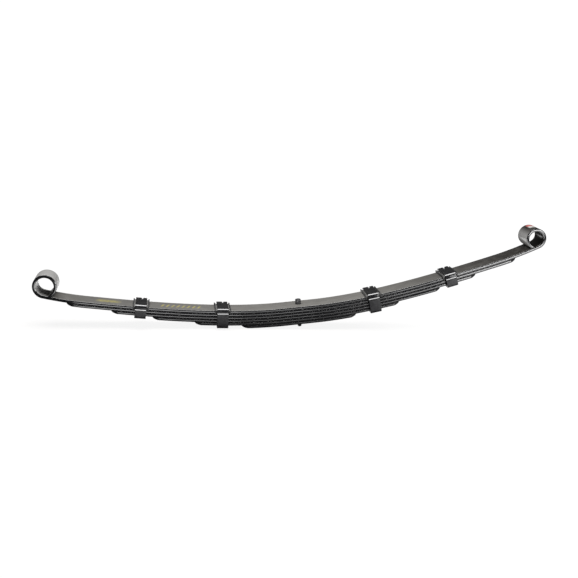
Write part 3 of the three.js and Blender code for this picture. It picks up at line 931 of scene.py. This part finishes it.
# %% Paint skin
# Dipped paint is never flat: it has a fine orange peel, slow runs, and pits where scale flaked off.
skin_tree, skin_in, skin_out = new_group(
    "paint_skin",
    [
        ("Place", "NodeSocketVector", None),
        ("Pit Size", "NodeSocketFloat", 260.0),
        ("Pit Share", "NodeSocketFloat", 0.3),
    ],
    ["Height", "Pits", "Runs"],
)
peel = noise(skin_tree, skin_in["Place"], 900, 2)
runs = noise(skin_tree, stretch(skin_tree, skin_in["Place"], (60, 160, 90)), 1, 3)
pit_inputs = {"Vector": skin_in["Place"], "Scale": skin_in["Pit Size"], "Detail": 3.0}
pit_noise = put(skin_tree, "ShaderNodeTexNoise", pit_inputs).outputs[0]
pit_edge = maths(skin_tree, "SUBTRACT", 0.72, maths(skin_tree, "MULTIPLY", skin_in["Pit Share"], 0.4))
pits = ramp(skin_tree, maths(skin_tree, "SUBTRACT", pit_noise, pit_edge), 0.0, 0.06)
height = maths(skin_tree, "MULTIPLY_ADD", peel, 0.12, maths(skin_tree, "MULTIPLY", runs, 0.9))
height = maths(skin_tree, "MULTIPLY_ADD", pits, -0.8, height)
for socket, value in (("Height", height), ("Pits", pits), ("Runs", runs)):
    skin_tree.links.new(value, skin_out[socket])

# %% Dust
# Dust lies on what faces up, in uneven patches.
dust_tree, dust_in, dust_out = new_group(
    "settled_dust", [("Place", "NodeSocketVector", None), ("Amount", "NodeSocketFloat", 0.5)], ["Dust"]
)
facing = put(dust_tree, "ShaderNodeNewGeometry").outputs["Normal"]
up = put(dust_tree, "ShaderNodeSeparateXYZ", {0: facing}).outputs[2]
lying = ramp(dust_tree, up, 0.5, 0.95)
patches = ramp(dust_tree, noise(dust_tree, dust_in["Place"], 45, 6, 0.65), 0.35, 0.75)
lying = maths(dust_tree, "MULTIPLY", lying, patches)
lying = maths(dust_tree, "MULTIPLY", lying, dust_in["Amount"], clamp=True)
dust_tree.links.new(lying, dust_out["Dust"])
print("shared effects:", [tree.name for tree in (grain_tree, skin_tree, dust_tree)])


# %% [markdown]
# ## Painted spring steel
#
# The flats are satin: thin black paint over rolled and peened steel, greyed by handling. They are painted
# darker toward the right eye, and a little toward the left end, as painted shade, and are glossier toward
# the right eye.
# The convex edges took more paint and shine. Right of the bolt that paint is full of pits, on the left it
# is smooth. Sheared faces are painted too, but dull.
# Every leaf carries its flat-bar coordinates, so grain and masks run along the steel, round the eye too.
#
# Shops mark a finished spring with crayon and paint: a yellow patch and a row of short dashes on
# the left arm, and a red dab on top of the right eye. Beside the red dab a pale patch is a painted
# highlight.

# %% Spring steel
def new_finish(name):
    """An empty material with a Principled shader."""
    material = bpy.data.materials.new(name)
    material.use_nodes = True
    tree = material.node_tree
    tree.nodes.clear()
    shader = put(tree, "ShaderNodeBsdfPrincipled")
    put(tree, "ShaderNodeOutputMaterial", {"Surface": shader.outputs[0]})
    return material, tree, shader


def add_bump(tree, shader, height, distance, strength=1.0):
    """Feeds a height into a shader's normal."""
    bump = put(tree, "ShaderNodeBump", {"Height": height, "Distance": distance, "Strength": strength})
    tree.links.new(bump.outputs[0], shader.inputs["Normal"])


def feed(tree, shader, **sources):
    """Links sources to a shader's sockets, named with underscores."""
    for key, source in sources.items():
        tree.links.new(source, shader.inputs[key.replace("_", " ")])


FLAT_SATIN = (0.082, 0.079, 0.074)
FLAT_LIGHT = (0.122, 0.118, 0.110)
FLAT_PAINTED_SHADE = (0.010, 0.009, 0.008)
EDGE_BLACK = (0.005, 0.005, 0.006)
EDGE_SCUFF = (0.022, 0.021, 0.022)
EYE_GREY = (0.20, 0.197, 0.192)
BORE_PAINTED_LIGHT = (0.34, 0.336, 0.328)
DUST_COLOUR = (0.18, 0.172, 0.16)

steel, tree, shader = new_finish("painted_spring_steel")
place = put(tree, "ShaderNodeAttribute", attribute_name="flat_place").outputs["Vector"]
cut_face = put(tree, "ShaderNodeAttribute", attribute_name="cut_face").outputs["Fac"]
length, across, depth = put(tree, "ShaderNodeSeparateXYZ", {0: place}).outputs
grain = put(tree, "ShaderNodeGroup", node_tree=grain_tree)
skin = put(tree, "ShaderNodeGroup", node_tree=skin_tree)
dust = put(tree, "ShaderNodeGroup", node_tree=dust_tree)
for group in (grain, skin, dust):
    tree.links.new(place, group.inputs["Place"])

edge = ramp(tree, maths(tree, "ABSOLUTE", across), LEAF_WIDTH / 2 - 1.7 * MM, LEAF_WIDTH / 2 - 1.2 * MM)
painted = maths(tree, "MAXIMUM", edge, cut_face)
rough_side = ramp(tree, length, 0, 200 * MM, 0.0, 0.3)
rough_side = maths(tree, "MAXIMUM", band(tree, length, 190 * MM, 130 * MM, 120 * MM), rough_side)
tree.links.new(ramp(tree, rough_side, 0.0, 1.0, 0.1, 0.5), skin.inputs["Pit Share"])
dust.inputs["Amount"].default_value = 0.15

# %% Flats, eyes and edges
LEFT_BORE_BACK = -665 * MM
RIGHT_EYE_BACK = 724 * MM
RIGHT_EYE_TOP = 690 * MM

flat_colour = blend_colours(tree, ramp(tree, grain.outputs["Streaks"], 0.3, 0.7), FLAT_SATIN, FLAT_LIGHT)
# Toward the right eye, and a little toward the left end, the flats are painted darker: painted shade. The
# same ramp makes the right arm glossier.
right_shade_and_gloss = ramp(tree, length, 120 * MM, 640 * MM)
left_painted_shade = ramp(tree, length, -620 * MM, -60 * MM, 0.3, 0.0)
flat_colour = blend_colours(tree, maths(tree, "ADD", right_shade_and_gloss, left_painted_shade), flat_colour, FLAT_PAINTED_SHADE)
flat_colour = blend_colours(tree, dust.outputs["Dust"], flat_colour, DUST_COLOUR)
under_main = ramp(tree, depth, -7.6 * MM, -7.5 * MM)
outside = maths(tree, "MULTIPLY", ramp(tree, depth, -3 * MM, -5 * MM), under_main)
left_outside = maths(tree, "MULTIPLY", outside, ramp(tree, length, -650 * MM, -690 * MM))
# The wall of the left eye's bore is painted light grey: painted light falling into the bore.
left_bore_painted_light = band(tree, length, LEFT_BORE_BACK, 30 * MM, 14 * MM)
left_bore_painted_light = maths(tree, "MULTIPLY", left_bore_painted_light, ramp(tree, depth, -2 * MM, -MM))
# A band on the left side of the right eye is painted light grey: a painted reflection. The outside of the
# left eye is also painted lighter grey.
right_eye_painted_reflection = maths(tree, "MULTIPLY", outside, band(tree, length, RIGHT_EYE_BACK, 14 * MM, 10 * MM))
eye_grey_and_reflection = maths(tree, "MAXIMUM", left_outside, right_eye_painted_reflection)
flat_colour = blend_colours(tree, eye_grey_and_reflection, flat_colour, EYE_GREY)
flat_colour = blend_colours(tree, left_bore_painted_light, flat_colour, BORE_PAINTED_LIGHT)
scuffs = maths(tree, "MULTIPLY", skin.outputs["Pits"], rough_side)
edge_colour = blend_colours(tree, scuffs, EDGE_BLACK, EDGE_SCUFF)
colour = blend_colours(tree, painted, flat_colour, edge_colour)

# %% Shop marks on the steel
MARK_YELLOW = (0.27, 0.235, 0.065)
MARK_RED = (0.42, 0.12, 0.11)
EYE_PAINTED_HIGHLIGHT = (0.45, 0.44, 0.42)
PATCH_PLACE = -479 * MM
DASHES_PLACE = -298 * MM
DASHES_REACH = 52 * MM
DASH_PITCH = 13 * MM
DASH_SLANT = -0.35

worn = ramp(tree, noise(tree, place, 230, 5, 0.7), 0.34, 0.56)
on_top = ramp(tree, depth, -0.6 * MM, -0.2 * MM)
patch = band(tree, length, PATCH_PLACE, 26 * MM, 10 * MM)
patch = maths(tree, "MULTIPLY", patch, band(tree, across, 1 * MM, 10 * MM, 5 * MM))
slanted = maths(tree, "MULTIPLY_ADD", across, DASH_SLANT, length)
dash_phase = maths(tree, "FRACT", maths(tree, "DIVIDE", slanted, DASH_PITCH))
dashes = band(tree, dash_phase, 0.5, 0.15, 0.06)
dashes = maths(tree, "MULTIPLY", dashes, band(tree, across, 0, 10 * MM, 2 * MM))
dashes = maths(tree, "MULTIPLY", dashes, band(tree, length, DASHES_PLACE, DASHES_REACH, 1 * MM))
patch_share = maths(tree, "MULTIPLY", patch, maths(tree, "MULTIPLY", worn, 0.6))
dash_share = maths(tree, "MULTIPLY", dashes, ramp(tree, worn, 0.0, 1.0, 0.45, 0.9))
yellow = maths(tree, "MULTIPLY", maths(tree, "MAXIMUM", patch_share, dash_share), on_top)
colour = blend_colours(tree, yellow, colour, MARK_YELLOW)
eye_top = maths(tree, "MULTIPLY", outside, band(tree, length, RIGHT_EYE_TOP, 8 * MM, 2 * MM))
# The red dab is a shop mark; the pale dab beside it is a painted highlight on the eye's top.
for mark_and_highlight_place, mark_and_highlight_colour in ((18 * MM, MARK_RED), (2 * MM, EYE_PAINTED_HIGHLIGHT)):
    mark_and_highlight = maths(tree, "MULTIPLY", eye_top, band(tree, across, mark_and_highlight_place, 8 * MM, 3 * MM))
    colour = blend_colours(tree, mark_and_highlight, colour, mark_and_highlight_colour)
tree.links.new(colour, shader.inputs["Base Color"])

# %% Shine and bump of the steel
FLAT_ROUGHNESS = 0.36
EDGE_ROUGHNESS = 0.12
CUT_ROUGHNESS = 0.5

roughness = maths(tree, "MULTIPLY_ADD", grain.outputs["Clouds"], 0.16, FLAT_ROUGHNESS)
roughness = maths(tree, "MULTIPLY_ADD", dust.outputs["Dust"], 0.3, roughness)
roughness = maths(tree, "MULTIPLY_ADD", right_shade_and_gloss, -0.2, roughness)
edge_roughness = maths(tree, "MULTIPLY_ADD", scuffs, 0.25, EDGE_ROUGHNESS)
dull_cut = maths(tree, "MULTIPLY", cut_face, CUT_ROUGHNESS)
edge_roughness = maths(tree, "MAXIMUM", edge_roughness, dull_cut)
rough_mix = put(tree, "ShaderNodeMix", {0: painted, 2: roughness, 3: edge_roughness})
feed(tree, shader, Roughness=rough_mix.outputs[0], Coat_Weight=edge)
shader.inputs["Coat Roughness"].default_value = 0.1
shader.inputs["Coat IOR"].default_value = 1.6

edge_bump = maths(tree, "MULTIPLY", skin.outputs["Height"], edge)
edge_bump = maths(tree, "MULTIPLY", edge_bump, ramp(tree, rough_side, 0.0, 1.0, 0.08, 0.15))
flat_bump = maths(tree, "MULTIPLY", grain.outputs["Streaks"], 0.06)
add_bump(tree, shader, maths(tree, "ADD", edge_bump, flat_bump), 0.4 * MM)
print(steel.name, "has", len(tree.nodes), "nodes")

# %% [markdown]
# ## Clip paint, liner plastic and fastener steel
#
# The straps are bent cold and painted after, so their gloss black paint is uneven and shows soft waves.
# Below the shoulder their legs are painted a little lighter, as a painted reflection.
# The liners are moulded black plastic, with their top between the rims painted lighter as a painted sheen.
# Bolt, nut and rivets are machined steel under a thin black finish.

# %% Clip paint
CLIP_BLACK = (0.006, 0.006, 0.007)
LEG_DARK = (0.009, 0.009, 0.010)
LEG_SHEEN_LIGHT = (0.024, 0.024, 0.026)

clip_paint, tree, shader = new_finish("clip_black_paint")
place = put(tree, "ShaderNodeTexCoord").outputs["Object"]
clip_place = put(tree, "ShaderNodeAttribute", attribute_name="clip_place").outputs["Vector"]
clip_height = put(tree, "ShaderNodeSeparateXYZ", {0: clip_place}).outputs[2]
skin_inputs = {"Place": place, "Pit Size": 320.0, "Pit Share": 0.2}
skin = put(tree, "ShaderNodeGroup", skin_inputs, node_tree=skin_tree)
dust = put(tree, "ShaderNodeGroup", {"Place": place, "Amount": 0.06}, node_tree=dust_tree)
blotches = noise(tree, place, 160, 4, 0.6)
facing = put(tree, "ShaderNodeNewGeometry").outputs["Normal"]
upward = put(tree, "ShaderNodeSeparateXYZ", {0: facing}).outputs[2]
shoulder_line = -SHOULDER_DROP - SHOULDER_HEIGHT / 2
# Below the shoulder the legs are painted a little lighter than the black above: a painted reflection. They
# are also rougher there.
leg_sheen_and_dull = ramp(tree, clip_height, shoulder_line, shoulder_line - 3 * MM)
leg_sheen_colour = blend_colours(tree, ramp(tree, blotches, 0.3, 0.7), LEG_DARK, LEG_SHEEN_LIGHT)
colour = blend_colours(tree, leg_sheen_and_dull, CLIP_BLACK, leg_sheen_colour)
colour = blend_colours(tree, dust.outputs["Dust"], colour, DUST_COLOUR)
clip_roughness = ramp(tree, blotches, 0.3, 0.7, 0.12, 0.22)
clip_roughness = maths(tree, "MULTIPLY_ADD", leg_sheen_and_dull, 0.3, clip_roughness)
feed(tree, shader, Base_Color=colour, Roughness=clip_roughness, Coat_Weight=ramp(tree, upward, 0.12, 0.35))
shader.inputs["Specular IOR Level"].default_value = 0.25
shader.inputs["Coat Roughness"].default_value = 0.08
shader.inputs["Coat IOR"].default_value = 1.6
add_bump(tree, shader, skin.outputs["Height"], 0.08 * MM)

# %% Liner plastic
PLASTIC_DARK = (0.008, 0.008, 0.008)
PLASTIC_LIGHT = (0.020, 0.020, 0.021)
PLASTIC_TOP_SHEEN = (0.12, 0.118, 0.113)

liner_plastic, tree, shader = new_finish("liner_black_plastic")
place = put(tree, "ShaderNodeTexCoord").outputs["Object"]
clip_place = put(tree, "ShaderNodeAttribute", attribute_name="clip_place").outputs["Vector"]
clip_x, _, clip_z = put(tree, "ShaderNodeSeparateXYZ", {0: clip_place}).outputs
mottle = noise(tree, place, 500, 3)
colour = blend_colours(tree, mottle, PLASTIC_DARK, PLASTIC_LIGHT)
rim_from = LINER_HALF_LENGTH - RIM_WIDTH
# Between the rims the liner's top is painted lighter grey: a painted sheen.
inner = ramp(tree, maths(tree, "ABSOLUTE", clip_x), rim_from, rim_from - 0.3 * MM)
lying = maths(tree, "MULTIPLY", inner, ramp(tree, clip_z, 0.5 * MM, 2 * MM))
colour = blend_colours(tree, lying, colour, PLASTIC_TOP_SHEEN)
feed(tree, shader, Base_Color=colour, Roughness=ramp(tree, noise(tree, place, 90), 0.3, 0.7, 0.42, 0.62))
add_bump(tree, shader, mottle, 0.1 * MM, 0.6)

# %% Fastener steel
FASTENER_BLACK = (0.030, 0.030, 0.032)
FASTENER_WORN = (0.13, 0.125, 0.12)

fastener_steel, tree, shader = new_finish("black_fastener_steel")
place = put(tree, "ShaderNodeTexCoord").outputs["Object"]
turning = noise(tree, stretch(tree, place, (90, 90, 2200)), 1, 3)
wear = ramp(tree, noise(tree, place, 260, 5, 0.7), 0.5, 0.75)
colour = blend_colours(tree, wear, FASTENER_BLACK, FASTENER_WORN)
bare = ramp(tree, wear, 0, 1, 0.35, 0.8)
feed(tree, shader, Base_Color=colour, Roughness=ramp(tree, turning, 0.3, 0.7, 0.2, 0.36), Metallic=bare)
add_bump(tree, shader, turning, 0.08 * MM, 0.7)

# %% Give each piece its finish
def coat(piece, material):
    """Makes a material the only one on a piece."""
    piece.data.materials.clear()
    piece.data.materials.append(material)


for piece in [*leaves.values(), short_leaf]:
    coat(piece, steel)
for (side, place_name, part), piece in clips.items():
    coat(piece, {"strap": clip_paint, "liner": liner_plastic, "rivet": fastener_steel}[part])
for piece in (bolt, nut):
    coat(piece, fastener_steel)
print("finishes:", [material.name for material in (steel, clip_paint, liner_plastic, fastener_steel)])

# %% [markdown]
# ## Floor and light
#
# The spring lies on a pale floor, and leans on its centre bolt and on one inner clip.
# The floor is therefore drawn tilted, through the bolt's end and the lowest point of that clip.
# It is mostly clear, so it shows little more than the soft shadow, and never hides an arm that bends down.
# It is seen from above only, and fades into the white background, so it has no horizon.
#
# A glossy black object shows only what it mirrors. Here the room is dark, and pale panels lie on the
# floor in front of the spring and behind it. Each convex leaf edge mirrors a panel as one thin line.
# The row of front panels is bright on the left, dim at the middle and brighter on the right, and a
# raised strip at the far right draws the bright line along the right arm.

# %% Floor
FLOOR_COLOUR = (0.42, 0.40, 0.39, 1)
FLOOR_MIDDLE = (-0.3, 0.0, 0.0)
FLOOR_FADE = (0.35, 0.80)
FLOOR_CLEAR = 0.85

clip_low, clip_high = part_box("left_inner_clip_rivet")
lean = math.atan2(clip_low.z, -(clip_low.x + clip_high.x) / 2)
for other in list(bpy.context.selected_objects):
    other.select_set(False)
bpy.ops.mesh.primitive_plane_add(size=4)
floor = bpy.context.object
floor.name = "floor"
floor.data.transform(Matrix.Translation((0, 0, -0.5 * MM)) @ Matrix.Rotation(lean, 4, "Y"))
floor.visible_glossy = False

floor_paper, tree, shader = new_finish("floor_paper")
shader.inputs["Base Color"].default_value = FLOOR_COLOUR
shader.inputs["Roughness"].default_value = 0.9
shader.inputs["Specular IOR Level"].default_value = 0.0
spot = put(tree, "ShaderNodeTexCoord").outputs["Object"]
away = put(tree, "ShaderNodeVectorMath", {0: spot, 1: FLOOR_MIDDLE}, operation="DISTANCE").outputs["Value"]
below = put(tree, "ShaderNodeNewGeometry").outputs["Backfacing"]
gone = maths(tree, "MAXIMUM", ramp(tree, away, *FLOOR_FADE, FLOOR_CLEAR, 1.0), below)
clear = put(tree, "ShaderNodeBsdfTransparent")
mix = put(tree, "ShaderNodeMixShader", {0: gone, 1: shader.outputs[0], 2: clear.outputs[0]})
tree.links.new(mix.outputs[0], tree.nodes["Material Output"].inputs["Surface"])
coat(floor, floor_paper)
print("floor leans", round(math.degrees(lean), 1), "degrees")

# %% World
ROOM = 0.05
BACKGROUND = 1.05

world = bpy.data.worlds.new("studio")
bpy.context.scene.world = world
world.use_nodes = True
tree = world.node_tree
tree.nodes.clear()
seen = put(tree, "ShaderNodeLightPath").outputs["Is Camera Ray"]
strength = put(tree, "ShaderNodeMix", {0: seen, 2: ROOM, 3: BACKGROUND}).outputs[0]
back = put(tree, "ShaderNodeBackground", {"Color": (1, 1, 1, 1), "Strength": strength})
put(tree, "ShaderNodeOutputWorld", {"Surface": back.outputs[0]})

# %% Lamps
def softbox(name, place, aim, size, glow):
    """A rectangular studio lamp that the camera doesn't see. Its glow is how bright its face is."""
    data = bpy.data.lights.new(name, "AREA")
    data.shape = "RECTANGLE"
    data.size, data.size_y = size
    data.energy = glow * math.pi * size[0] * size[1]
    lamp = bpy.data.objects.new(name, data)
    bpy.context.scene.collection.objects.link(lamp)
    turn = (Vector(aim) - Vector(place)).to_track_quat("-Z", "Y").to_matrix().to_4x4()
    lamp.matrix_world = Matrix.Translation(place) @ turn
    lamp.visible_camera = False


softbox("top_softbox", (-0.2, -0.15, 2.2), (-0.2, -0.15, 0.1), (2.4, 1.5), 11.0)
softbox("right_strip", (1.1, -1.3, 0.22), (0.6, 0, 0.12), (0.9, 0.4), 15.0)
# A lamp that faces up has its first size across the spring and its second size along it.
for name, x, y, across_size, along_size, glow in (
    ("front_left_panel", -0.36, -0.55, 0.86, 0.44, 3.4),
    ("front_bolt_panel", -0.04, -0.55, 0.86, 0.20, 1.9),
    ("front_middle_panel", 0.18, -0.55, 0.86, 0.24, 1.0),
    ("front_right_panel", 0.90, -0.57, 0.86, 1.20, 2.6),
    ("back_panel", -0.45, 0.50, 0.80, 1.70, 2.0),
):
    panel_height = MM - x * math.tan(lean)
    aim = (x + math.sin(lean), y, panel_height + math.cos(lean))
    softbox(name, (x, y, panel_height), aim, (across_size, along_size), glow)

scene = bpy.context.scene
scene.view_settings.view_transform = "Standard"
scene.view_settings.look = "None"
